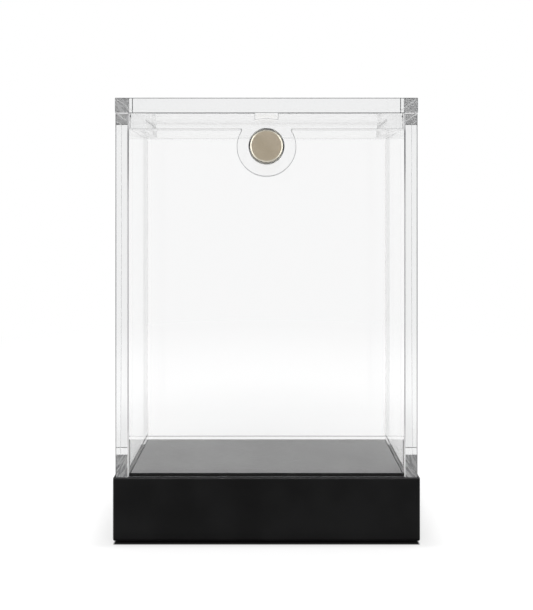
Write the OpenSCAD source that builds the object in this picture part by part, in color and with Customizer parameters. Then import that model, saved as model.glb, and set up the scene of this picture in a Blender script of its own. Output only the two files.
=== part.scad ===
// Clear display case for one graded trading card, with a lift-off magnetic lid on a black base.
// The origin is the middle of the footprint, on the surface that the feet stand on.
// +Z is up, +X is to the viewer's right and the front faces -Y.

/* [Clear case] */
// Outside width of the clear case, side to side
case_w = 118; // [90:1:200]
// Outside depth of the clear case, front to back
case_d = 40; // [34:1:90]
// Height of the clear walls above the base
wall_h = 142; // [90:1:240]
// Thickness of the clear wall sheet
wall_t = 5; // [4:0.5:6]
// Chamfer on the polished edges of the clear sheet
edge_ease = 0.3; // [0.1:0.1:0.5]

/* [Lid] */
// Thickness of the lid plate
lid_t = 6; // [4:0.5:8]
// How far the lid plate stands past the walls all round
lid_overhang = 0.1; // [0:0.1:1.5]
// Height of the lips under the lid plate
lip_h = 5.6; // [4:0.2:8]
// Thickness of the lip strips
lip_t = 5; // [4:0.5:6]
// Gap between the lips and the walls, all round
lip_gap = 0.3; // [0.3:0.05:0.8]

/* [Magnet closure] */
// Diameter of the round tab on the front lip
tab_d = 23.6; // [20:0.2:28]
// Depth of the tab's centre below the top of the walls
tab_drop = 12.65; // [11:0.05:16]
// Radius where the tab runs into the lip
tab_fillet = 0.5; // [0.3:0.1:1.5]
// Diameter of each round magnet
magnet_d = 13; // [8:0.5:14]
// Thickness of each magnet
magnet_t = 3; // [2:0.25:3.5]
// Radius on the rims of the magnets
magnet_round = 0.5; // [0.2:0.1:0.8]
// Glue gap round each magnet in its pocket
magnet_gap = 0.6; // [0.1:0.05:0.8]
// How far each magnet lies below the face of its sheet
magnet_sink = 0.2; // [0.1:0.05:0.4]
// Width of the pry notch in the front panel's top edge
notch_w = 9; // [6:0.5:14]
// Depth of the pry notch at its ends
notch_h = 2.6; // [1.8:0.1:3.5]
// Rise of the pry notch's arched floor at its middle
notch_rise = 0.5; // [0.2:0.1:1]

/* [Base] */
// Height of the base shell
base_h = 24.9; // [18:0.1:40]
// How far the base stands past the clear case at each side
base_step_x = 0.8; // [0:0.1:6]
// How far the base stands past the clear case at the front and the back
base_step_y = 1; // [0:0.1:6]
// Thickness of the base shell's outer walls
base_wall = 2.5; // [2:0.1:4]
// Thickness of the base shell's top
base_top_t = 3.5; // [2.5:0.1:5]
// Radius on the upright corners of the base
corner_r = 1; // [0.5:0.1:3]
// Radius along the top edges of the base
top_edge_r = 0.5; // [0.2:0.1:1]
// Radius along the bottom edges of the base
bottom_edge_r = 1.7; // [0.5:0.1:1.9]
// Thickness of the stiffening ribs inside the base
rib_t = 1.5; // [1:0.1:2.5]
// Number of ribs that run front to back inside the base
rib_count = 5; // [3:2:9]

/* [Floor mat] */
// Thickness of the floor mat
mat_t = 1; // [0.6:0.1:2]
// Strip of base left bare between the mat's recess and the walls
mat_margin = 0.1; // [0.05:0.05:3]
// Gap round the mat in its recess
mat_gap = 0.15; // [0.1:0.05:0.5]

/* [Bottom cover] */
// Thickness of the bottom cover
cover_t = 2.5; // [2:0.1:4]
// Gap between the bottom cover and the shell's walls
cover_gap = 0.2; // [0.1:0.05:0.5]
// Distance of the screws from the ends of the base
screw_inset_x = 22.3; // [20:0.1:30]
// Distance of the screws from the front and the back of the base
screw_inset_y = 9.5; // [8:0.5:12]
// Thread diameter of the cover screws
screw_d = 3; // [2:0.5:3.5]
// Length of the screws under their heads
screw_len = 9; // [6:0.5:12]
// Head diameter of the cover screws
head_d = 5.6; // [4.5:0.1:6.5]
// Head height of the cover screws
head_h = 1.2; // [0.8:0.1:1.3]
// Outside diameter of the screw bosses
boss_d = 7; // [6:0.5:9]

/* [Feet] */
// Diameter of the rubber feet
foot_d = 8; // [6:0.5:10]
// How far the feet hold the base off the table
foot_stand = 0.5; // [0.3:0.1:3]
// Depth of the feet's seats in the bottom cover
foot_seat = 1; // [0.5:0.1:1.5]
// Distance of the feet from the ends of the base
foot_inset_x = 9.8; // [8:0.1:13]
// Distance of the feet from the front and the back of the base
foot_inset_y = 9.5; // [8:0.5:12]

/* [Hidden] */

$fn = 64;
cut = 0.5;            // how far a cut runs past the face it opens
thread_fit = 0.05;    // radial gap round the screws in the bosses
head_fit = 0.3;       // radial gap round the screw heads
head_sink = 0.1;      // how far the screw heads lie below the cover's face
shank_root = 0.3;     // how far the screw shanks run into their heads
hole_fit = 0.2;       // radial gap round the screws in the cover
seat_fit = 0.2;       // radial gap round the feet in their seats
foot_round = 0.4;     // radius on the lower rim of the feet
drive_w = 0.7;        // width of the cross recess's arms
drive_span = 3;       // span of the cross recess
drive_depth = 0.7;    // depth of the cross recess
mat_corner_r = 0.6;   // radius on the mat's corners

clear_tint = [0.86, 0.9, 0.92, 0.3];
black_plastic = [0.07, 0.07, 0.075];
cover_black = [0.12, 0.12, 0.125];
mat_grey = [0.48, 0.48, 0.48];
rubber_black = [0.16, 0.16, 0.16];
nickel = [0.66, 0.62, 0.54];
zinc = [0.72, 0.73, 0.75];

inner_w = case_w - 2 * wall_t;
inner_d = case_d - 2 * wall_t;
base_w = case_w + 2 * base_step_x;
base_d = case_d + 2 * base_step_y;
floor_z = foot_stand + base_h;
wall_top = floor_z + wall_h;
magnet_z = wall_top - tab_drop;

cavity_w = base_w - 2 * base_wall;
cavity_d = base_d - 2 * base_wall;
cavity_r = max(corner_r, 1.2);
cavity_top = floor_z - base_top_t;
cover_top = foot_stand + cover_t;
rib_h = cavity_top - cover_top;
rib_pitch = cavity_w / (rib_count + 1);
screw_x = base_w / 2 - screw_inset_x;
screw_y = base_d / 2 - screw_inset_y;
screw_seat = head_h + head_sink;
foot_x = base_w / 2 - foot_inset_x;
foot_y = base_d / 2 - foot_inset_y;

pocket_d = magnet_d + 2 * magnet_gap;
pocket_depth = magnet_t + magnet_sink;
panel_inner_y = -inner_d / 2;
lip_front_y = panel_inner_y + lip_gap;
lip_span_x = inner_w - 2 * lip_gap;
lip_span_y = inner_d - 2 * lip_gap;
side_lip_len = lip_span_y - 2 * lip_t;

// The fillet's centre is a radius away from the lip's bottom edge and from the tab's rim.
fillet_z = -lip_h - tab_fillet;
fillet_x = sqrt(pow(tab_d / 2 + tab_fillet, 2) - pow(fillet_z + tab_drop, 2));

// The arch of the notch's floor passes through its two ends and its crown.
arch_r = (pow(notch_w / 2, 2) + pow(notch_rise, 2)) / (2 * notch_rise);

// Rectangle centred on the origin, with a 45 degree chamfer on each corner.
module eased_rect(w, h, e) {
    polygon([
        [e - w / 2, -h / 2], [w / 2 - e, -h / 2], [w / 2, e - h / 2], [w / 2, h / 2 - e],
        [w / 2 - e, h / 2], [e - w / 2, h / 2], [-w / 2, h / 2 - e], [-w / 2, e - h / 2],
    ]);
}

// Solid between y = -d/2 and d/2, with its outline drawn in X and Z.
module along_y(d) {
    translate([0, d / 2, 0])
        rotate([90, 0, 0])
            linear_extrude(d)
                children();
}

// Solid between x = -w/2 and w/2, with its outline drawn in Y and Z.
module along_x(w) {
    translate([-w / 2, 0, 0])
        rotate([90, 0, 90])
            linear_extrude(w)
                children();
}

// Sheet that stands on z = 0, with every edge eased.
module eased_block(w, d, h) {
    intersection() {
        linear_extrude(h) eased_rect(w, d, edge_ease);
        along_y(d) translate([0, h / 2]) eased_rect(w, h, edge_ease);
        along_x(w) translate([0, h / 2]) eased_rect(d, h, edge_ease);
    }
}

// Sheet that stands on z = 0, with only its long level edges eased and its ends cut square.
module square_ended_sheet(w, t, h) {
    along_x(w)
        translate([0, h / 2])
            eased_rect(t, h, edge_ease);
}

// Rectangle centred on the origin, with round corners.
module round_rect(w, d, r) {
    for (sx = [-1, 1])
        for (sy = [-1, 1])
            translate([sx * (w / 2 - r), sy * (d / 2 - r)])
                circle(r);
    square([w - 2 * r, d], center = true);
    square([w, d - 2 * r], center = true);
}

// Upright outline that stands on z = 0, with its own radius at the bottom and at the top.
module round_ended_outline(w, h, r_bottom, r_top) {
    for (s = [-1, 1]) {
        translate([s * (w / 2 - r_bottom), r_bottom]) circle(r_bottom);
        translate([s * (w / 2 - r_top), h - r_top]) circle(r_top);
    }
    translate([-w / 2, r_bottom]) square([w, h - r_bottom - r_top]);
    translate([r_bottom - w / 2, 0]) square([w - 2 * r_bottom, h / 2]);
    translate([r_top - w / 2, h / 2]) square([w - 2 * r_top, h / 2]);
}

// Copies its children to the four corners at (x, y).
module at_corners(x, y) {
    for (sx = [-1, 1])
        for (sy = [-1, 1])
            translate([sx * x, sy * y, 0])
                children();
}

// Outer form of the base: rounded upright corners, soft top edges and fuller bottom edges.
module base_block() {
    translate([0, 0, foot_stand])
        intersection() {
            linear_extrude(base_h) round_rect(base_w, base_d, corner_r);
            along_y(base_d) round_ended_outline(base_w, base_h, bottom_edge_r, top_edge_r);
            along_x(base_w) round_ended_outline(base_d, base_h, bottom_edge_r, top_edge_r);
        }
}

// Ribs and screw bosses that hang from the base's top and carry the bottom cover.
module base_stiffening() {
    translate([-cavity_w / 2 - cut, -rib_t / 2, cover_top])
        cube([cavity_w + 2 * cut, rib_t, rib_h + cut]);
    for (i = [1 : rib_count])
        translate([i * rib_pitch - cavity_w / 2 - rib_t / 2, -cavity_d / 2 - cut, cover_top])
            cube([rib_t, cavity_d + 2 * cut, rib_h + cut]);
    at_corners(screw_x, screw_y)
        translate([0, 0, cover_top])
            cylinder(d = boss_d, h = rib_h + cut);
}

// Hollow moulded base with a recess in its top for the floor mat.
module base_shell() {
    color(black_plastic)
        difference() {
            union() {
                difference() {
                    base_block();
                    translate([0, 0, foot_stand - cut])
                        linear_extrude(base_h - base_top_t + cut)
                            round_rect(cavity_w, cavity_d, cavity_r);
                }
                base_stiffening();
            }
            translate([0, 0, floor_z - mat_t])
                linear_extrude(mat_t + cut)
                    round_rect(inner_w - 2 * mat_margin, inner_d - 2 * mat_margin, mat_corner_r);
            at_corners(screw_x, screw_y)
                translate([0, 0, cover_top - cut])
                    cylinder(d = screw_d + 2 * thread_fit, h = screw_len + cut);
        }
}

// Plate that closes the base from below, with counterbored screw holes and seats for the feet.
module base_cover() {
    color(cover_black)
        difference() {
            translate([0, 0, foot_stand])
                linear_extrude(cover_t)
                    round_rect(
                        cavity_w - 2 * cover_gap, cavity_d - 2 * cover_gap, cavity_r - cover_gap
                    );
            at_corners(screw_x, screw_y) {
                translate([0, 0, foot_stand - cut])
                    cylinder(d = screw_d + 2 * hole_fit, h = cover_t + 2 * cut);
                translate([0, 0, foot_stand - cut])
                    cylinder(d = head_d + 2 * head_fit, h = screw_seat + cut);
            }
            at_corners(foot_x, foot_y)
                translate([0, 0, foot_stand - cut])
                    cylinder(d = foot_d + 2 * seat_fit, h = foot_seat + cut);
        }
}

// Pan-head screw with a cross recess, its head down.
module cover_screw() {
    difference() {
        union() {
            translate([0, 0, foot_stand + head_sink]) cylinder(d = head_d, h = head_h);
            translate([0, 0, foot_stand + screw_seat - shank_root])
                cylinder(d = screw_d, h = screw_len + shank_root);
        }
        for (turn = [0, 90])
            rotate(turn)
                translate([-drive_span / 2, -drive_w / 2, foot_stand + head_sink - cut])
                    cube([drive_span, drive_w, drive_depth + cut]);
    }
}

module cover_screws() {
    color(zinc)
        at_corners(screw_x, screw_y)
            cover_screw();
}

// Half section of a foot: a flat disc with a rounded lower rim.
module foot_section() {
    foot_h = foot_stand + foot_seat;
    translate([foot_d / 2 - foot_round, foot_round]) circle(foot_round);
    square([foot_d / 2 - foot_round, foot_h]);
    translate([0, foot_round]) square([foot_d / 2, foot_h - foot_round]);
}

module rubber_feet() {
    color(rubber_black)
        at_corners(foot_x, foot_y)
            rotate_extrude()
                foot_section();
}

// Thin mat that lies in the base's recess, flush with the base's top.
module floor_mat() {
    color(mat_grey)
        translate([0, 0, floor_z - mat_t])
            linear_extrude(mat_t)
                round_rect(
                    inner_w - 2 * (mat_margin + mat_gap),
                    inner_d - 2 * (mat_margin + mat_gap),
                    mat_corner_r - mat_gap
                );
}

// Blind pocket for a magnet, cut from the face at y = face_y in the direction dir along Y.
module magnet_pocket(face_y, dir) {
    translate([0, face_y - dir * cut, magnet_z])
        rotate([-90 * dir, 0, 0])
            cylinder(d = pocket_d, h = pocket_depth + cut);
}

// Shallow notch with an arched floor that lets a fingernail under the lid.
module pry_notch() {
    translate([0, panel_inner_y - wall_t / 2, wall_top])
        along_y(wall_t + 2 * cut)
            difference() {
                translate([-notch_w / 2, -notch_h]) square([notch_w, notch_h + cut]);
                translate([0, notch_rise - notch_h - arch_r]) circle(arch_r, $fn = 180);
            }
}

module front_panel() {
    color(clear_tint)
        difference() {
            translate([0, panel_inner_y - wall_t / 2, floor_z])
                square_ended_sheet(inner_w, wall_t, wall_h);
            magnet_pocket(panel_inner_y, -1);
            pry_notch();
        }
}

module back_panel() {
    color(clear_tint)
        translate([0, (inner_d + wall_t) / 2, floor_z])
            square_ended_sheet(inner_w, wall_t, wall_h);
}

// Full-depth side sheet, on the side that side gives as -1 or 1.
module side_panel(side) {
    color(clear_tint)
        translate([side * (inner_w + wall_t) / 2, 0, floor_z])
            eased_block(wall_t, case_d, wall_h);
}

module left_panel() {
    side_panel(-1);
}

module right_panel() {
    side_panel(1);
}

// Half section of a magnet, from its axis out, with rounded rims.
module magnet_section() {
    flat_r = magnet_d / 2 - magnet_round;
    for (z = [magnet_round, magnet_t - magnet_round])
        translate([flat_r, z]) circle(magnet_round);
    square([flat_r, magnet_t]);
    translate([0, magnet_round]) square([magnet_d / 2, magnet_t - 2 * magnet_round]);
}

// Disc magnet that lies on the floor of the pocket cut from y = face_y in the direction dir.
module disc_magnet(face_y, dir) {
    color(nickel)
        translate([0, face_y + dir * pocket_depth, magnet_z])
            rotate([90 * dir, 0, 0])
                rotate_extrude()
                    magnet_section();
}

module panel_magnet() {
    disc_magnet(panel_inner_y, -1);
}

module tab_magnet() {
    disc_magnet(lip_front_y, 1);
}

module lid_plate() {
    color(clear_tint)
        translate([0, 0, wall_top])
            eased_block(case_w + 2 * lid_overhang, case_d + 2 * lid_overhang, lid_t);
}

// Web that runs from the lip into the tab, with a fillet in the corner at each side.
module tab_web_outline() {
    difference() {
        polygon([
            [fillet_x, fillet_z],
            [fillet_x, -lip_h / 2],
            [-fillet_x, -lip_h / 2],
            [-fillet_x, fillet_z],
            [0, -tab_drop],
        ]);
        for (s = [-1, 1])
            translate([s * fillet_x, fillet_z])
                circle(tab_fillet);
    }
}

// The front lip and its round tab are cut from one piece of sheet.
module front_lip_outline() {
    translate([-lip_span_x / 2, -lip_h]) square([lip_span_x, lip_h]);
    translate([0, -tab_drop]) circle(d = tab_d, $fn = 96);
    tab_web_outline();
}

module front_lip() {
    color(clear_tint)
        difference() {
            translate([0, lip_front_y + lip_t / 2, wall_top])
                along_y(lip_t)
                    front_lip_outline();
            magnet_pocket(lip_front_y, 1);
        }
}

module back_lip() {
    color(clear_tint)
        translate([-lip_span_x / 2, lip_span_y / 2 - lip_t, wall_top - lip_h])
            cube([lip_span_x, lip_t, lip_h]);
}

// Side lip between the front and the back lips, on the side that side gives as -1 or 1.
module side_lip(side) {
    color(clear_tint)
        translate([side * (lip_span_x - lip_t) / 2 - lip_t / 2, -side_lip_len / 2, wall_top - lip_h])
            cube([lip_t, side_lip_len, lip_h]);
}

module left_lip() {
    side_lip(-1);
}

module right_lip() {
    side_lip(1);
}

base_shell();
base_cover();
cover_screws();
rubber_feet();
floor_mat();
front_panel();
back_panel();
left_panel();
right_panel();
panel_magnet();
lid_plate();
front_lip();
back_lip();
left_lip();
right_lip();
tab_magnet();
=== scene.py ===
import math

import bmesh
import bpy
from mathutils import Matrix, Vector


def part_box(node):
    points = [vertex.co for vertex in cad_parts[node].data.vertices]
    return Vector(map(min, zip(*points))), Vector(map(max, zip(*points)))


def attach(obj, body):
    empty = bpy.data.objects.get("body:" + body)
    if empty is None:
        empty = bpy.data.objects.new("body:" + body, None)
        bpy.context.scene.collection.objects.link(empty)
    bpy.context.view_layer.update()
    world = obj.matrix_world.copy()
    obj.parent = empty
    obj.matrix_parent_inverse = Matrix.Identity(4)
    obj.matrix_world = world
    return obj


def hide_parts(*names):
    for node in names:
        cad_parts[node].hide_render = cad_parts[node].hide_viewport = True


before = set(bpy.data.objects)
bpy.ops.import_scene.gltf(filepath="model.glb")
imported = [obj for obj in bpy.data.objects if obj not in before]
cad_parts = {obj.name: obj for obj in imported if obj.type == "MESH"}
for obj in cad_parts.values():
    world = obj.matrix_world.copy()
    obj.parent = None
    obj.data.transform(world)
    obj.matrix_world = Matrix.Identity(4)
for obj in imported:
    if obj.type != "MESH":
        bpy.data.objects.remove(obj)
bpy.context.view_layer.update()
mm = 0.001
tiny = 0.001 * mm      # points closer than this count as one


def newObject(name, data):
    made = bpy.data.objects.new(name, data)
    bpy.context.scene.collection.objects.link(made)
    return made


# camera: one-point view, level, with the frame shifted down

cameraSettings = {
    "photoSize": (533, 610),
    "vanishingPoint": (266.5, 212),
    "focalPixels": 513,
    "place": (0, -220 * mm, 128.8 * mm),
    "sensor": 36,
    "clipStart": 10 * mm,
}


def makeCamera():
    s = cameraSettings
    wide, high = s["photoSize"]
    column, row = s["vanishingPoint"]
    data = bpy.data.cameras.new("photoCamera")
    data.sensor_width = s["sensor"]
    data.lens = s["focalPixels"] * s["sensor"] / high
    data.shift_x = (wide / 2 - column) / high
    data.shift_y = (row - high / 2) / high
    data.clip_start = s["clipStart"]
    camera = newObject("photoCamera", data)
    camera.location = s["place"]
    camera.rotation_euler = (math.radians(90), 0, 0)
    bpy.context.scene.camera = camera


makeCamera()
print("camera placed")


# shader helper: a wire is one socket, and sums on wires add Math nodes

noiseSpan = (0.3, 0.7)      # most values of a noise lie between these


class Wire:
    def __init__(self, shader, socket):
        self.shader = shader
        self.socket = socket

    def __add__(self, other):
        return self.shader.maths("ADD", self, other)

    def __rsub__(self, other):
        return self.shader.maths("SUBTRACT", other, self)

    def __mul__(self, other):
        return self.shader.maths("MULTIPLY", self, other)

    def __truediv__(self, other):
        return self.shader.maths("DIVIDE", self, other)

    __radd__ = __add__
    __rmul__ = __mul__


class Shader:
    def __init__(self, owner):
        owner.use_nodes = True
        self.owner = owner
        self.tree = owner.node_tree
        self.tree.nodes.clear()

    def node(self, kind, settings=None, inputs=None, out=0):
        made = self.tree.nodes.new(kind)
        for key, value in (settings or {}).items():
            if key == "stops":
                self.setStops(made.color_ramp, value)
            else:
                setattr(made, key, value)
        for key, value in (inputs or {}).items():
            if isinstance(value, Wire):
                self.tree.links.new(value.socket, made.inputs[key])
            else:
                made.inputs[key].default_value = value
        return Wire(self, made.outputs[out]) if made.outputs else made

    def setStops(self, ramp, stops):
        while len(ramp.elements) > 1:
            ramp.elements.remove(ramp.elements[-1])
        for i, (place, colour) in enumerate(stops):
            stop = ramp.elements[0] if i == 0 else ramp.elements.new(place)
            stop.position = place
            stop.color = colour

    def maths(self, operation, a, b=0.0):
        return self.node("ShaderNodeMath", {"operation": operation}, {0: a, 1: b})

    def vectorMaths(self, operation, a, b=(0, 0, 0)):
        return self.node("ShaderNodeVectorMath", {"operation": operation}, {0: a, 1: b})

    def length(self, vector):
        return self.node("ShaderNodeVectorMath", {"operation": "LENGTH"}, {0: vector}, out="Value")

    def axis(self, vector, name):
        return self.node("ShaderNodeSeparateXYZ", None, {0: vector}, out=name)

    def range(self, value, low, high, toLow=0.0, toHigh=1.0):      # eased step from one level to another
        inputs = {"Value": value, "From Min": low, "From Max": high, "To Min": toLow, "To Max": toHigh}
        return self.node("ShaderNodeMapRange", {"interpolation_type": "SMOOTHSTEP"}, inputs)

    def vary(self, noise, low, high):
        return self.range(noise, *noiseSpan, low, high)

    def coords(self):
        return self.node("ShaderNodeTexCoord", out="Object")

    def place(self, centre=(0, 0, 0), scale=(1, 1, 1), turn=(0, 0, 0)):      # the same, moved
        inputs = {"Vector": self.coords(), "Location": centre, "Rotation": turn, "Scale": scale}
        return self.node("ShaderNodeMapping", {"vector_type": "TEXTURE"}, inputs)

    def noise(self, vector, scale, detail, rough=0.5):
        inputs = {"Vector": vector, "Scale": scale, "Detail": detail, "Roughness": rough}
        return self.node("ShaderNodeTexNoise", None, inputs)

    def mixColour(self, share, a, b):
        return self.node("ShaderNodeMix", {"data_type": "RGBA"}, {0: share, 6: a, 7: b}, out=2)

    def bump(self, height, distance, strength):
        inputs = {"Height": height, "Distance": distance, "Strength": strength}
        return self.node("ShaderNodeBump", None, inputs)

    def surface(self, inputs, volume=None):
        ends = {"Surface": self.node("ShaderNodeBsdfPrincipled", None, inputs)}
        if volume:
            ends["Volume"] = volume
        self.node("ShaderNodeOutputMaterial", None, ends)
        return self.owner


def newShader(name):
    return Shader(bpy.data.materials.new(name))


# finishes of the clear sheets
# a noise is given by its scale, detail and roughness, and a bump by its height and strength

speckNoise = (900, 3, 0.6)
scrapeNoise = (1400, 3, 0.6)

clearSettings = {
    "tint": (1, 1, 1, 1),
    "ior": 1.49,
    "haze": (90, 3),
    "hazeFrom": (0.45, 0.75),
    "rough": (0.0, 0.005),
    "wave": (12, 1),
    "bump": (0.01 * mm, 0.3),
    "absorbColour": (0.0, 0.03, 0.05, 1),
    "absorbDensity": 3.2,      # per metre: long ways through a sheet look greyer
}


def acrylic(shader, inputs, through=1.0):
    s = clearSettings
    grey = {"Color": s["absorbColour"], "Density": s["absorbDensity"]}
    volume = shader.node("ShaderNodeVolumeAbsorption", None, grey)
    return shader.surface({"IOR": s["ior"], "Transmission Weight": through, **inputs}, volume)


def clearSheetFinish():
    s = clearSettings
    shader = newShader("clearAcrylic")
    haze = shader.noise(shader.coords(), *s["haze"])
    wave = shader.noise(shader.coords(), *s["wave"])
    return acrylic(shader, {
        "Base Color": s["tint"],
        "Roughness": shader.range(haze, *s["hazeFrom"], *s["rough"]),
        "Normal": shader.bump(wave, *s["bump"]),
    })


gluedSettings = {
    "black": (0.002, 0.002, 0.002, 1),
    "pale": (0.006, 0.006, 0.006, 1),
    "patch": (220, 4, 0.6),
    "blend": (0.4, 0.7),
    "rough": (0.7, 0.9),
}


def gluedFaceFinish():      # the front sheet's foot shows the black base that it is glued to
    s = gluedSettings
    shader = newShader("gluedToBase")
    patch = shader.noise(shader.coords(), *s["patch"])
    return shader.surface({
        "Base Color": shader.mixColour(shader.range(patch, *s["blend"]), s["black"], s["pale"]),
        "Roughness": shader.vary(patch, *s["rough"]),
        "Specular IOR Level": 0.0,
    })


edgeSettings = {
    # the dark grey tint is painted shade on the chamfers
    "tint": (0.10, 0.105, 0.115, 1),
    "rough": (0.3, 0.5),
}


def easedEdgeFinish():      # scraped chamfers: a little frosted, and tinted dark grey as painted shade, so that they show as thin grey lines
    s = edgeSettings
    shader = newShader("easedEdge")
    scrape = shader.noise(shader.coords(), *scrapeNoise)
    return acrylic(shader, {"Base Color": s["tint"], "Roughness": shader.vary(scrape, *s["rough"])})


sawnSettings = {
    "sawn": ((0.16, 0.162, 0.178, 1), (1.0, 1.0, 1.0, 1)),
    # a paler copy of the sawn finish: painted light on the front strip of the side sheets' tops
    "sawnPaintedLit": ((0.75, 0.75, 0.77, 1), (1.0, 1.0, 1.0, 1)),
    "turn": 4,      # degrees that the saw marks lean from the depth
    "stretch": 18,
    "streak": (1100, 3, 0.6),
    "blend": (0.44, 0.56),
    "rough": (0.4, 0.6),
    "bump": (0.02 * mm, 0.5),
    "through": 0.4,
}


def sawnEndFinish(name):      # saw marks on the ends of the side sheets and of the lid
    s = sawnSettings
    dark, pale = s[name]
    shader = newShader(name)
    spot = shader.place(turn=(0, 0, math.radians(s["turn"])), scale=(1, s["stretch"], 1))
    streak = shader.noise(spot, *s["streak"])
    return acrylic(shader, {
        "Base Color": shader.mixColour(shader.range(streak, *s["blend"]), dark, pale),
        "Roughness": shader.vary(streak, *s["rough"]),
        "Normal": shader.bump(streak, *s["bump"]),
    }, s["through"])


jointSettings = {
    "dark": (0.1, 0.1, 0.11, 1),
    "middle": (0.6, 0.6, 0.61, 1),
    "pale": (1.0, 1.0, 1.0, 1),
    "paleBelow": (34 * mm, 48 * mm),      # heights between which each tone fades into the next
    # painted shade below the lid, between these heights
    "paintedShadeFrom": (130 * mm, 152 * mm),
    "paintedShadeTo": (160 * mm, 162 * mm),
    "rough": (0.5, 0.7),
    "through": 0.1,
}


def jointFinish():      # glue line in the front corners: milky at the foot, and darkened near the lid by a band of painted shade
    s = jointSettings
    shader = newShader("glueLine")
    height = shader.axis(shader.coords(), "Z")
    speck = shader.noise(shader.coords(), *speckNoise)
    foot = shader.mixColour(shader.range(height, *s["paleBelow"]), s["pale"], s["middle"])
    # the dark band under the lid is painted shade
    dark = shader.range(height, *s["paintedShadeFrom"]) * (1 - shader.range(height, *s["paintedShadeTo"]))
    return acrylic(shader, {
        "Base Color": shader.mixColour(dark, foot, s["dark"]),
        "Roughness": shader.vary(speck, *s["rough"]),
    }, s["through"])


pocketWallSettings = {
    "pale": (0.9, 0.88, 0.8, 1),
    "dark": (0.03, 0.03, 0.032, 1),
    "sides": (5.6 * mm, 6.7 * mm),      # painted shade beyond this distance from the middle plane
    "top": (5.9 * mm, 6.6 * mm),        # and beyond this height over the magnet's centre
    "rough": (0.3, 0.5),
    "through": 0.4,
}


def pocketWallPaintedLightFinish():      # the bored wall is painted: pale as painted light low down and on the diagonals, dark as painted shade at the sides and top
    s = pocketWallSettings
    shader = newShader("pocketWallPaintedLight")
    low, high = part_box("panel_magnet")
    spot = shader.place(centre=(0, 0, (low.z + high.z) / 2))
    across = shader.maths("ABSOLUTE", shader.axis(spot, "X"))
    above = shader.axis(spot, "Z")
    speck = shader.noise(shader.coords(), *speckNoise)
    # painted shade at the sides and top of the bored wall, painted light elsewhere
    paintedShadeShare = shader.maths("MAXIMUM", shader.range(across, *s["sides"]), shader.range(above, *s["top"]))
    return acrylic(shader, {
        "Base Color": shader.mixColour(paintedShadeShare, s["pale"], s["dark"]),
        "Roughness": shader.vary(speck, *s["rough"]),
    }, s["through"])


paintedHighlightSettings = {
    "dull": (0.85, 0.84, 0.85, 1),
    "pale": (1.0, 1.0, 1.0, 1),
    "rough": (0.4, 0.6),
    "through": 0.2,
}


def paintedHighlightEdgeFinish():      # painted highlight where the lid meets the side sheets: the scraped edges there are coloured pale, as if they caught the light
    s = paintedHighlightSettings
    shader = newShader("paintedHighlightEdge")
    speck = shader.noise(shader.coords(), *speckNoise)
    return acrylic(shader, {
        "Base Color": shader.mixColour(speck, s["dull"], s["pale"]),
        "Roughness": shader.vary(speck, *s["rough"]),
    }, s["through"])


# finishes of the base, the mat and the hardware

baseSettings = {
    "black": (0.0075, 0.0075, 0.0077, 1),
    "worn": (0.0115, 0.0115, 0.0118, 1),
    "top": (0.04, 0.04, 0.041, 1),      # painted highlight along its top edges
    "paintedHighlightBand": 0.3 * mm,
    "cloud": (40, 3),
    "blend": (0.35, 0.7),
    "grain": (2600, 2, 0.6),
    "bump": (0.012 * mm, 0.5),
    "rough": (0.33, 0.42),
    "specular": 0.07,
}


def basePlasticFinish():
    s = baseSettings
    shader = newShader("basePlastic")
    grain = shader.noise(shader.coords(), *s["grain"])
    cloud = shader.noise(shader.coords(), *s["cloud"])
    height = shader.axis(shader.coords(), "Z")
    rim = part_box("base_shell")[1].z
    tone = shader.mixColour(shader.range(cloud, *s["blend"]), s["black"], s["worn"])
    return shader.surface({
        # the band along the top is a painted highlight
        "Base Color": shader.mixColour(shader.range(height, rim - s["paintedHighlightBand"], rim), tone, s["top"]),
        "Roughness": shader.vary(cloud, *s["rough"]),
        "Specular IOR Level": s["specular"],
        "Normal": shader.bump(grain, *s["bump"]),
    })


coverSettings = {
    "black": (0.012, 0.012, 0.0125, 1),
    "pale": (0.02, 0.02, 0.021, 1),
    "grain": (1500, 3, 0.7),
    "bump": (0.04 * mm, 0.7),
    "blend": (0.35, 0.7),
    "rough": (0.5, 0.65),
}


def coverPlasticFinish():
    s = coverSettings
    shader = newShader("coverPlastic")
    grain = shader.noise(shader.coords(), *s["grain"])
    return shader.surface({
        "Base Color": shader.mixColour(shader.range(grain, *s["blend"]), s["black"], s["pale"]),
        "Roughness": shader.vary(grain, *s["rough"]),
        "Normal": shader.bump(grain, *s["bump"]),
    })


matSettings = {
    "grey": (0.245, 0.245, 0.245, 1),
    "pale": (0.282, 0.282, 0.282, 1),
    "stretch": 4,           # fibres lie along the width
    "fibre": (1800, 3, 0.6),
    "fibreShare": 0.6,      # of the tone, and the rest is cloud
    "cloud": (60, 3),
    "blend": (0.38, 0.62),
    "rough": (0.6, 0.75),
    "bump": (0.03 * mm, 0.5),
}


def matFinish():
    s = matSettings
    shader = newShader("matGrain")
    fibre = shader.noise(shader.place(scale=(s["stretch"], 1, 1)), *s["fibre"])
    cloud = shader.noise(shader.coords(), *s["cloud"])
    mixed = fibre * s["fibreShare"] + cloud * (1 - s["fibreShare"])
    return shader.surface({
        "Base Color": shader.mixColour(shader.range(mixed, *s["blend"]), s["grey"], s["pale"]),
        "Roughness": shader.vary(fibre, *s["rough"]),
        "Normal": shader.bump(fibre, *s["bump"]),
    })


nickelSettings = {
    "nickel": ((0.48, 0.405, 0.285, 1), (0.53, 0.45, 0.33, 1)),
    # a paler copy of the nickel on the rim's cone: a painted highlight
    "nickelRimPaintedHighlight": ((0.60, 0.56, 0.46, 1), (0.66, 0.62, 0.52, 1)),
    "cloud": (160, 2),
    "blend": (0.35, 0.65),
    "rough": (0.16, 0.22),
    "bump": (0.001 * mm, 0.3),
}


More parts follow.
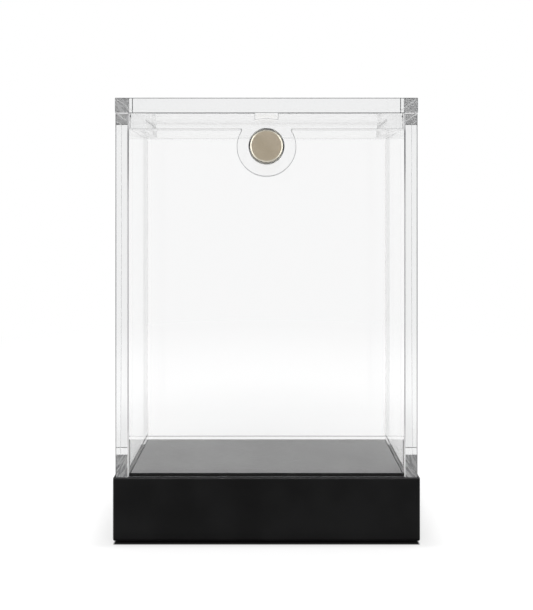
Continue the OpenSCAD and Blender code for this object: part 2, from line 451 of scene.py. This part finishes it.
def nickelFinish(name):
    s = nickelSettings
    warm, pale = s[name]
    shader = newShader(name)
    speck = shader.noise(shader.coords(), *scrapeNoise)
    cloud = shader.noise(shader.coords(), *s["cloud"])
    return shader.surface({
        "Base Color": shader.mixColour(shader.range(cloud, *s["blend"]), warm, pale),
        "Metallic": 1.0,
        "Roughness": shader.vary(speck, *s["rough"]),
        "Normal": shader.bump(speck, *s["bump"]),
    })


rubberSettings = {
    "dark": (0.02, 0.02, 0.02, 1),
    "pale": (0.034, 0.034, 0.035, 1),
    "speck": (1200, 3, 0.6),
    "rough": (0.75, 0.9),
    "bump": (0.03 * mm, 0.6),
}


def rubberFinish():
    s = rubberSettings
    shader = newShader("footRubber")
    speck = shader.noise(shader.coords(), *s["speck"])
    return shader.surface({
        "Base Color": shader.mixColour(speck, s["dark"], s["pale"]),
        "Roughness": shader.vary(speck, *s["rough"]),
        "Normal": shader.bump(speck, *s["bump"]),
    })


screwSettings = {
    "dull": (0.55, 0.56, 0.58, 1),
    "pale": (0.68, 0.69, 0.71, 1),
    "rough": (0.28, 0.42),
}


def screwFinish():
    s = screwSettings
    shader = newShader("zincScrew")
    speck = shader.noise(shader.coords(), *speckNoise)
    return shader.surface({
        "Base Color": shader.mixColour(speck, s["dull"], s["pale"]),
        "Metallic": 1.0,
        "Roughness": shader.vary(speck, *s["rough"]),
    })


finish = {
    "clear": clearSheetFinish(),
    "glued": gluedFaceFinish(),
    "sawn": sawnEndFinish("sawn"),
    "sawnPaintedLit": sawnEndFinish("sawnPaintedLit"),
    "joint": jointFinish(),
    "bright": paintedHighlightEdgeFinish(),
    "pocket": pocketWallPaintedLightFinish(),
    "edge": easedEdgeFinish(),
    "base": basePlasticFinish(),
    "cover": coverPlasticFinish(),
    "mat": matFinish(),
    "nickel": nickelFinish("nickel"),
    "nickelRimPaintedHighlight": nickelFinish("nickelRimPaintedHighlight"),
    "rubber": rubberFinish(),
    "screw": screwFinish(),
}
print("finishes made")


# mesh helpers

flat = 0.99       # a face lies square to an axis if its normal has this share along it
facing = 0.9      # faces that way
leaning = 0.3     # or leans that way


def boxMesh(low, high):
    bm = bmesh.new()
    bmesh.ops.create_cube(bm, size=1)
    bmesh.ops.scale(bm, vec=high - low, verts=bm.verts)
    bmesh.ops.translate(bm, vec=(low + high) / 2, verts=bm.verts)
    return bm


def easeEdges(bm, edges, width, segments=1):
    bmesh.ops.bevel(
        bm, geom=edges, offset=width, offset_type="OFFSET", affect="EDGES",
        segments=segments, profile=0.5, material=-1, clamp_overlap=True,
    )


def drawLine(bm, last, x, z):      # pen strokes for outlines in X and Z
    new = bm.verts.new((x, last.co.y, z))
    bm.edges.new((last, new))
    return new


def drawArc(bm, last, x, z, angle, steps):
    spun = bmesh.ops.spin(
        bm, geom=[last], cent=(x, last.co.y, z), axis=(0, 1, 0), angle=math.radians(angle), steps=steps,
    )
    return next(g for g in spun["geom_last"] if isinstance(g, bmesh.types.BMVert))


def closeOutline(bm, depth):      # fills the drawn outline and gives it thickness along Y
    bmesh.ops.remove_doubles(bm, verts=bm.verts, dist=tiny)
    face = bmesh.ops.contextual_create(bm, geom=bm.edges[:])["faces"][0]
    grown = bmesh.ops.extrude_face_region(bm, geom=[face])
    moved = [g for g in grown["geom"] if isinstance(g, bmesh.types.BMVert)]
    bmesh.ops.translate(bm, vec=(0, depth, 0), verts=moved)
    bmesh.ops.recalc_face_normals(bm, faces=bm.faces)


def rodMesh(x, z, yLow, yHigh, radius, segments):
    bm = bmesh.new()
    bmesh.ops.create_cone(
        bm, cap_ends=True, segments=segments, radius1=radius, radius2=radius, depth=yHigh - yLow,
    )
    bmesh.ops.rotate(bm, cent=(0, 0, 0), matrix=Matrix.Rotation(math.radians(90), 3, "X"), verts=bm.verts)
    bmesh.ops.translate(bm, vec=(x, (yLow + yHigh) / 2, z), verts=bm.verts)
    return bm


def meshObject(name, bm, *looks):
    mesh = bpy.data.meshes.new(name)
    bm.to_mesh(mesh)
    bm.free()
    for look in looks:
        mesh.materials.append(finish[look])
    return newObject(name, mesh)


def cutAway(piece, cutter):      # boolean, applied
    tool = meshObject("cutter", cutter)
    cut = piece.modifiers.new("cut", "BOOLEAN")
    cut.solver = "EXACT"
    cut.object = tool
    solid = bpy.data.meshes.new_from_object(piece.evaluated_get(bpy.context.evaluated_depsgraph_get()))
    piece.modifiers.clear()
    piece.data = solid
    bpy.data.objects.remove(tool)


def smoothRound(piece, degrees, flatFrom=20 * mm):
    # faces with a short outline shade smooth, except along edges sharper than this
    # long ones stay flat, because a turned normal at one end would slant their reflections
    limit = math.radians(degrees)
    bm = bmesh.new()
    bm.from_mesh(piece.data)
    for face in bm.faces:
        face.smooth = face.calc_perimeter() < flatFrom
    for edge in bm.edges:
        edge.smooth = len(edge.link_faces) == 2 and edge.calc_face_angle(0) < limit
    bm.to_mesh(piece.data)
    bm.free()


def markFaces(piece, look, picks):      # picks says which faces take that look
    index = piece.data.materials[:].index(finish[look])
    for face in piece.data.polygons:
        if picks(face):
            face.material_index = index


def splitFaces(piece, picks, place, normal):      # cuts only the picked faces along a plane
    bm = bmesh.new()
    bm.from_mesh(piece.data)
    faces = [f for f in bm.faces if picks(f)]
    edges = list(dict.fromkeys(e for f in faces for e in f.edges))
    verts = list(dict.fromkeys(v for f in faces for v in f.verts))
    bmesh.ops.bisect_plane(bm, geom=faces + edges + verts, plane_co=place, plane_no=normal, dist=tiny)
    bm.to_mesh(piece.data)
    bm.free()


def addPiece(piece, body, node):
    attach(piece, body)
    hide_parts(node)
    return piece


# clear sheets

sheetSettings = {
    "gap": 0.02 * mm,       # air left between sheets that touch, so that their faces stay apart
    "ease": 0.2 * mm,       # width of the scraped chamfer
    "nearby": 0.5 * mm,     # an edge that a chamfer has shortened is found again within this
}


def sheetBox(node):
    low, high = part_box(node)
    shrink = Vector((1, 1, 1)) * sheetSettings["gap"] / 2
    return low + shrink, high - shrink


def isSlanted(face):
    return max(abs(c) for c in face.normal) < flat


def isFrontChamfer(face):
    return -facing < face.normal.y < -leaning


def sideOf(value, low, high):
    return 1 if abs(value - high) < tiny else -1 if abs(value - low) < tiny else 0


def middleOf(edge):
    return (edge.verts[0].co + edge.verts[1].co) / 2


def isNear(edge, spots):
    return min((middleOf(edge) - spot).length for spot in spots) < sheetSettings["nearby"]


def clearBox(node, body, widthOf, *looks):
    # widthOf gives a chamfer's width from the edge's side, such as (1, -1, 0)
    low, high = sheetBox(node)
    bm = boxMesh(low, high)
    groups = {}
    for edge in bm.edges:
        middle = middleOf(edge)
        side = tuple(sideOf(middle[i], low[i], high[i]) for i in range(3))
        groups.setdefault(widthOf(*side), []).append(middle)
    for width, spots in sorted(groups.items(), reverse=True):      # wide ones first, or they are clamped
        if width > 0:
            easeEdges(bm, [e for e in bm.edges if isNear(e, spots)], width)
    piece = meshObject(node.replace("_", "") + "Clear", bm, "clear", "edge", *looks)
    markFaces(piece, "edge", isSlanted)
    return addPiece(piece, body, node)


sideSettings = {
    "backEase": 0.07 * mm,
    "frontEase": 0.4 * mm,
    "topEase": 0.4 * mm,
    "topSplit": 1 * mm,      # where along the depth the sawn top turns darker; in front of it a paler copy of the finish is painted light
    "footSplit": 10 * mm,    # and where the saw marks of the foot end
}


def sidePanelClear(node, inner):      # inner is the side, -1 or 1, that faces the inside of the case
    s = sideSettings

    def widthOf(x, y, z):
        if z < 0 or (x == -inner and y > 0):
            return 0
        if y < 0:
            return s["topEase"] if z > 0 else s["frontEase"] if x == -inner else sheetSettings["ease"]
        return s["backEase"] if y > 0 and x != 0 else sheetSettings["ease"]

    def isTop(face):
        return face.normal.z > facing

    def isFoot(face):
        return face.normal.z < -facing

    piece = clearBox(node, "case", widthOf, "sawn", "sawnPaintedLit", "bright", "joint")
    splitFaces(piece, isTop, (0, s["topSplit"], 0), (0, 1, 0))
    splitFaces(piece, isFoot, (0, s["footSplit"], 0), (0, 1, 0))
    markFaces(piece, "sawn", lambda f: isTop(f) and f.center.y > s["topSplit"])
    markFaces(piece, "sawn", lambda f: isFoot(f) and f.center.y < s["footSplit"])
    # painted light: the front strip of the top takes the paler copy of the sawn finish
    markFaces(piece, "sawnPaintedLit", lambda f: isTop(f) and f.center.y < s["topSplit"])
    # painted highlight on the chamfers under the lid's front
    markFaces(piece, "bright", lambda f: f.normal.z > leaning and f.normal.y < -leaning)
    markFaces(piece, "joint", lambda f: f.normal.x * inner > leaning and f.normal.y < -leaning)


sidePanelClear("left_panel", 1)
sidePanelClear("right_panel", -1)
clearBox("back_panel", "case", lambda x, y, z: 0)

pocketSettings = {
    "gap": 0.6 * mm,         # round the magnet
    "sink": 0.02 * mm,       # behind it
    "round": 0.5 * mm,       # at the blind end
    "roundSteps": 5,
    "steps": 96,
    "past": 1 * mm,          # the cutter sticks out of the sheet
    "wall": (-0.2 * mm, 0.7 * mm),      # the bored wall lies between these, from the magnet's edge
}


def pocketCutter(node, magnet, way):      # way is 1 if the pocket opens to the back, and -1 to the front
    s = pocketSettings
    low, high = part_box(magnet)
    sheetLow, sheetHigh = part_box(node)
    centre = (low + high) / 2
    radius = (high.z - low.z) / 2 + s["gap"]
    blind = low.y - s["sink"] if way > 0 else high.y + s["sink"]
    mouth = sheetHigh.y + s["past"] if way > 0 else sheetLow.y - s["past"]
    bm = rodMesh(centre.x, centre.z, min(blind, mouth), max(blind, mouth), radius, s["steps"])
    rim = [e for e in bm.edges if all(abs(v.co.y - blind) < tiny for v in e.verts)]
    easeEdges(bm, rim, s["round"], s["roundSteps"])
    return bm


def markPocket(piece, magnet):
    low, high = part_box(magnet)
    centre = (low + high) / 2
    nearest, furthest = pocketSettings["wall"]

    def isWall(face):
        away = math.hypot(face.center.x - centre.x, face.center.z - centre.z) - (high.z - low.z) / 2
        return nearest < away < furthest and abs(face.normal.y) < flat

    markFaces(piece, "pocket", isWall)


frontSettings = {
    "notchWide": 9 * mm,
    "notchDeep": 2.6 * mm,
    "notchRise": 0.5 * mm,
    "notchSteps": 12,
    "notchReach": 1 * mm,      # beyond the notch and below it, its edges end within this
    "ease": 0.1 * mm,
    "endEase": 0.3 * mm,
    "smoothTo": 20,
}


def frontPanelClear():
    s = frontSettings
    low, high = sheetBox("front_panel")
    half = s["notchWide"] / 2
    radius = (half ** 2 + s["notchRise"] ** 2) / (2 * s["notchRise"])
    sweep = 2 * math.degrees(math.asin(half / radius))
    floorZ = high.z - s["notchDeep"]
    bm = bmesh.new()
    start = bm.verts.new((low.x, low.y, low.z))
    foot = drawLine(bm, start, high.x, low.z)
    top = drawLine(bm, foot, high.x, high.z)
    lip = drawLine(bm, top, half, high.z)
    side = drawLine(bm, lip, half, floorZ)
    arch = drawArc(bm, side, 0, floorZ + s["notchRise"] - radius, -sweep, s["notchSteps"])
    otherLip = drawLine(bm, arch, -half, high.z)
    otherTop = drawLine(bm, otherLip, low.x, high.z)
    bm.edges.new((otherTop, start))
    closeOutline(bm, high.y - low.y)
    outer = low.y + tiny
    ends = [e for e in bm.edges if all(v.co.y < outer and abs(v.co.x) > high.x - tiny for v in e.verts)]
    easeEdges(bm, ends, s["endEase"])
    lowest = floorZ - s["notchReach"]
    rims = [e for e in bm.edges if all(v.co.y < outer and v.co.z > lowest for v in e.verts)]
    easeEdges(bm, rims, s["ease"])

    def isEnd(face):
        outside = abs(face.center.x) > half + s["notchReach"]
        return outside and isFrontChamfer(face) and abs(face.normal.x) > leaning

    piece = meshObject("frontpanelClear", bm, "clear", "edge", "glued", "joint", "pocket")
    markFaces(piece, "edge", isFrontChamfer)
    markFaces(piece, "glued", lambda f: f.normal.z < -facing)
    markFaces(piece, "joint", isEnd)
    cutAway(piece, pocketCutter("front_panel", "panel_magnet", 1))
    markPocket(piece, "panel_magnet")
    smoothRound(piece, s["smoothTo"])
    addPiece(piece, "case", "front_panel")


frontPanelClear()
print("clear walls made")


# lid

lidSettings = {
    "frontEase": 0.35 * mm,
    "sawnTo": 12 * mm,      # the ends are polished beyond this
}


def lidPlateClear():
    s = lidSettings
    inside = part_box("front_panel")[1].x

    def widthOf(x, y, z):
        if y > 0 and x == 0:
            return 0
        return s["frontEase"] if y < 0 and z > 0 else sheetSettings["ease"]

    def isUnderFront(face):
        return face.normal.z < -leaning and face.normal.y < -leaning

    def isEnd(face):
        return abs(face.normal.x) > facing

    piece = clearBox("lid_plate", "lid", widthOf, "sawn", "bright")
    for x in (-inside, inside):
        splitFaces(piece, isUnderFront, (x, 0, 0), (1, 0, 0))
    splitFaces(piece, isEnd, (0, s["sawnTo"], 0), (0, 1, 0))
    markFaces(piece, "sawn", lambda f: isEnd(f) and f.center.y < s["sawnTo"])
    # painted highlight on the lid's chamfers over the side sheets
    markFaces(piece, "bright", lambda f: isUnderFront(f) and abs(f.center.x) > inside)


lidPlateClear()
for node, outer in {"back_lip": (0, 1, -1), "left_lip": (-1, 0, -1), "right_lip": (1, 0, -1)}.items():
    clearBox(node, "lid", lambda x, y, z: sheetSettings["ease"] if (x, y, z) == outer else 0)

lipSettings = {
    "height": 5.6 * mm,
    "tabRadius": 11.8 * mm,
    "tabDrop": 12.65 * mm,
    "tabSteps": 72,
    "tabEase": 0.2 * mm,
    "fillet": 0.5 * mm,
    "filletSteps": 6,
    "ease": 0.08 * mm,
    "smoothTo": 30,
}


def frontLipClear():
    s = lipSettings
    low, high = sheetBox("front_lip")
    bottom = high.z - s["height"]
    centreZ = high.z - s["tabDrop"]
    filletZ = bottom - s["fillet"]
    reach = s["tabRadius"] + s["fillet"]
    filletX = math.sqrt(reach ** 2 - (filletZ - centreZ) ** 2)
    turn = math.degrees(math.acos((filletZ - centreZ) / reach))      # from the top to the fillet's centre
    bm = bmesh.new()
    start = bm.verts.new((low.x, low.y, high.z))
    corner = drawLine(bm, start, low.x, bottom)
    hook = drawLine(bm, corner, -filletX, bottom)
    rim = drawArc(bm, hook, -filletX, filletZ, 180 - turn, s["filletSteps"])
    otherRim = drawArc(bm, rim, 0, centreZ, -(360 - 2 * turn), s["tabSteps"])
    otherHook = drawArc(bm, otherRim, filletX, filletZ, 180 - turn, s["filletSteps"])
    farCorner = drawLine(bm, otherHook, high.x, bottom)
    farTop = drawLine(bm, farCorner, high.x, high.z)
    bm.edges.new((farTop, start))
    closeOutline(bm, high.y - low.y)

    def isStraight(edge):
        return all(abs(v.co.y - low.y) + abs(v.co.z - bottom) < tiny for v in edge.verts)

    rims = [e for e in bm.edges if all(v.co.y < low.y + tiny and v.co.z < high.z - tiny for v in e.verts)]
    easeEdges(bm, [e for e in rims if not isStraight(e)], s["tabEase"])
    easeEdges(bm, [e for e in bm.edges if isStraight(e)], s["ease"])
    piece = meshObject("frontlipClear", bm, "clear", "edge", "pocket")
    markFaces(piece, "edge", isFrontChamfer)
    cutAway(piece, pocketCutter("front_lip", "tab_magnet", -1))
    markPocket(piece, "tab_magnet")
    smoothRound(piece, s["smoothTo"])
    addPiece(piece, "lid", "front_lip")


frontLipClear()
print("lid made")


# magnets

discSettings = {
    "rimWide": 0.62 * mm,
    "rimDeep": 0.24 * mm,
    "round": 0.12 * mm,
    "roundSteps": 3,
    "roundFrom": 15,      # degrees
    "smoothTo": 12,
    "steps": 96,
    "coneFaces": (0.85, 0.99),      # share of the cone's normals along the axis
}


def discMagnet(node, body):
    s = discSettings
    low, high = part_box(node)
    centre = (low + high) / 2
    radius = (high.z - low.z) / 2
    bm = rodMesh(centre.x, centre.z, low.y + s["rimDeep"], high.y - s["rimDeep"], radius, s["steps"])
    ends = [f for f in bm.faces if abs(f.normal.y) > facing]
    for face in ends:      # a shallow cone round each
        bmesh.ops.inset_region(
            bm, faces=[face], thickness=s["rimWide"], depth=s["rimDeep"], use_even_offset=False,
        )
    bm.normal_update()
    shoulders = [e for e in bm.edges if e.calc_face_angle(0) > math.radians(s["roundFrom"])]
    easeEdges(bm, shoulders, s["round"], s["roundSteps"])
    piece = meshObject(node.replace("_", "") + "Disc", bm, "nickel", "nickelRimPaintedHighlight")
    smoothRound(piece, s["smoothTo"])
    least, most = s["coneFaces"]
    # the rim's cone takes the painted highlight
    markFaces(piece, "nickelRimPaintedHighlight", lambda f: least < abs(f.normal.y) < most)
    addPiece(piece, body, node)


discMagnet("panel_magnet", "case")
discMagnet("tab_magnet", "lid")
print("magnets made")


# finishes on the pieces that stay as they are

plainPieces = {
    "base_shell": "base",
    "base_cover": "cover",
    "cover_screws": "screw",
    "rubber_feet": "rubber",
    "floor_mat": "mat",
}
for node, look in plainPieces.items():
    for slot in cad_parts[node].material_slots:
        slot.material = finish[look]
print("base dressed")


# studio

studioSettings = {
    "floorSize": 12,
    "floorWhite": (0.28, 0.28, 0.28, 1),
    # painted shadow: the floor's colour under the base
    "floorPaintedShadow": (0.02, 0.02, 0.02, 1),
    "floorLift": 0.785,         # brings the floor near white, and leaves the shadow
    "floorThrough": 0.735,      # the same through clear sheets
    "floorFar": (0.14, 0.4),    # between these distances the floor turns plain white
    "contact": 0.9 * mm,        # painted contact shadow: from just under the base's edge the floor gets its full level within this
    "contactIn": (0.9 * mm, 0.1 * mm),
    "softContact": 4 * mm,      # a fainter painted shadow that reaches further, most of all beside the base
    "softSides": 0.25,
    "softShare": 0.18,
    "floorBounce": 0.3,         # light that the white floor throws back on the object
    "glossAhead": 0.35,         # levels of the near floor in reflections: in front,
    "glossSide": 0.95,          # beside the case,
    "glossPatch": 1.1,          # and further off
    "sideFrom": (-45 * mm, -20 * mm),
    "patchFrom": (90 * mm, 160 * mm),
    "glossDark": 10 * mm,       # close to the base the reflected floor lies in painted shadow
    "centre": 10 * mm,          # keeps directions on the floor steady near its middle
    "horizon": 0.85,            # light from all round, on surfaces that scatter it
    "zenith": 0.75,
    "domeFrom": (-0.1, 0.9),
    "ahead": 1.0,               # levels of the surroundings in gloss and in the edges of clear sheets
    "front": 0.75,
    "corner": 2.4,
    "side": 0.3,
    "up": 0.5,                  # what clear sheets show of the ceiling, and what gloss shows of it
    "upFrom": (0.5, 0.75),
    "over": 0.2,
    "overFrom": (0.45, 0.7),
}
around = (      # from straight in front of the case, at -1, to straight behind it
    (-1, "front"), (-0.9, "front"), (-0.75, "corner"), (-0.4, "corner"),
    (-0.25, "side"), (0.3, "side"), (0.8, "ahead"),
)


def pathMasks(shader):      # camera, then what is seen past or through clear sheets, then scattered light
    camera = shader.node("ShaderNodeLightPath", out="Is Camera Ray")
    diffused = shader.maths("MINIMUM", shader.node("ShaderNodeLightPath", out="Diffuse Depth"), 1.0)
    bounced = shader.maths("MINIMUM", shader.node("ShaderNodeLightPath", out="Glossy Depth"), 1.0)
    return camera, (1 - diffused) * (1 - bounced), diffused


def surroundings(shader, forward):      # level by how far ahead a direction points, from -1 to 1
    s = studioSettings
    stops = [((place + 1) / 2, (s[name], s[name], s[name], 1)) for place, name in around]
    return shader.node("ShaderNodeValToRGB", {"stops": stops}, {"Fac": forward * 0.5 + 0.5})


def makeFloor():
    s = studioSettings
    bm = bmesh.new()
    bmesh.ops.create_grid(bm, x_segments=1, y_segments=1, size=s["floorSize"] / 2)
    floor = meshObject("studioFloor", bm)
    shader = newShader("floorWhite")
    camera, straight, diffused = pathMasks(shader)
    spot = shader.coords()
    reach = shader.length(spot)
    depth = shader.axis(spot, "Y")
    far = shader.range(reach, *s["floorFar"])
    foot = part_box("base_shell")[1]
    edge = (foot.x - s["contactIn"][0], foot.y - s["contactIn"][1], 0)
    away = shader.vectorMaths("SUBTRACT", shader.vectorMaths("ABSOLUTE", spot), edge)
    away = shader.vectorMaths("MAXIMUM", away)
    clear = shader.length(away)
    wide = shader.length(shader.vectorMaths("MULTIPLY", away, (s["softSides"], 1, 1)))

    # what is seen straight or through clear sheets
    # a painted contact shadow at the base's foot, and a fainter painted shadow further out
    outsidePaintedShadow = shader.range(clear, 0.0, s["contact"])
    paintedSoftShadow = 1 - s["softShare"] * (1 - shader.range(wide, 0.0, s["softContact"]))
    tone = shader.mixColour(outsidePaintedShadow, s["floorPaintedShadow"], s["floorWhite"])
    plain = shader.node("ShaderNodeBsdfDiffuse", None, {"Color": tone})
    lifted = s["floorThrough"] + camera * (s["floorLift"] - s["floorThrough"])
    glow = straight * outsidePaintedShadow * paintedSoftShadow * lifted + diffused * s["floorBounce"]
    lift = shader.node("ShaderNodeEmission", None, {"Color": glow})
    near = shader.node("ShaderNodeAddShader", None, {0: plain, 1: lift})

    # what reflections show, and the plain white further off
    nearby = shader.range(depth, *s["sideFrom"], s["glossAhead"], s["glossSide"])
    patch = shader.range(reach, *s["patchFrom"], nearby, s["glossPatch"])
    ahead = surroundings(shader, depth / (reach + s["centre"]))
    # the reflected floor is darkened near the base by painted shadow
    gloss = (1 - far) * patch * shader.range(clear, 0.0, s["glossDark"]) + far * ahead
    backdrop = shader.node("ShaderNodeEmission", None, {"Color": straight + (1 - straight) * gloss})
    share = shader.maths("MAXIMUM", far, 1 - straight) * (1 - diffused)
    both = shader.node("ShaderNodeMixShader", None, {0: share, 1: near, 2: backdrop})
    shader.node("ShaderNodeOutputMaterial", None, {"Surface": both})
    floor.data.materials.append(shader.owner)


def makeWorld():
    s = studioSettings
    world = bpy.data.worlds.new("studioWorld")
    bpy.context.scene.world = world
    shader = Shader(world)
    camera, straight, diffused = pathMasks(shader)
    direction = shader.node("ShaderNodeTexCoord", out="Generated")
    rise = shader.axis(direction, "Z")
    through = shader.range(rise, *s["upFrom"], 1.0, s["up"])
    gloss = surroundings(shader, shader.axis(direction, "Y"))
    gloss = gloss * shader.range(rise, *s["overFrom"], 1.0, s["over"])
    dome = shader.range(rise, *s["domeFrom"], s["horizon"], s["zenith"])
    seen = straight * through + (1 - straight) * ((1 - diffused) * gloss + diffused * dome)
    shade = shader.node("ShaderNodeBackground", None, {"Color": camera + (1 - camera) * seen})
    shader.node("ShaderNodeOutputWorld", None, {"Surface": shade})


lampSettings = {
    "size": 0.9,
    "power": 3.6,
    "place": (0, -0.1, 0.95),
}


def makeLamp():
    s = lampSettings
    data = bpy.data.lights.new("topSoftbox", "AREA")
    data.shape = "SQUARE"
    data.size = s["size"]
    data.energy = s["power"]
    lamp = newObject("topSoftbox", data)
    lamp.location = s["place"]
    lamp.rotation_euler = (-Vector(s["place"])).to_track_quat("-Z", "Y").to_euler()


makeFloor()
makeWorld()
makeLamp()

scene = bpy.context.scene
scene.view_settings.view_transform = "Standard"
scene.cycles.max_bounces = 32      # light crosses up to a dozen clear faces on its way through
scene.cycles.transmission_bounces = 32
scene.cycles.glossy_bounces = 12
scene.cycles.blur_glossy = 0       # keeps the light on the mat, which comes through clear sheets
print("studio made")
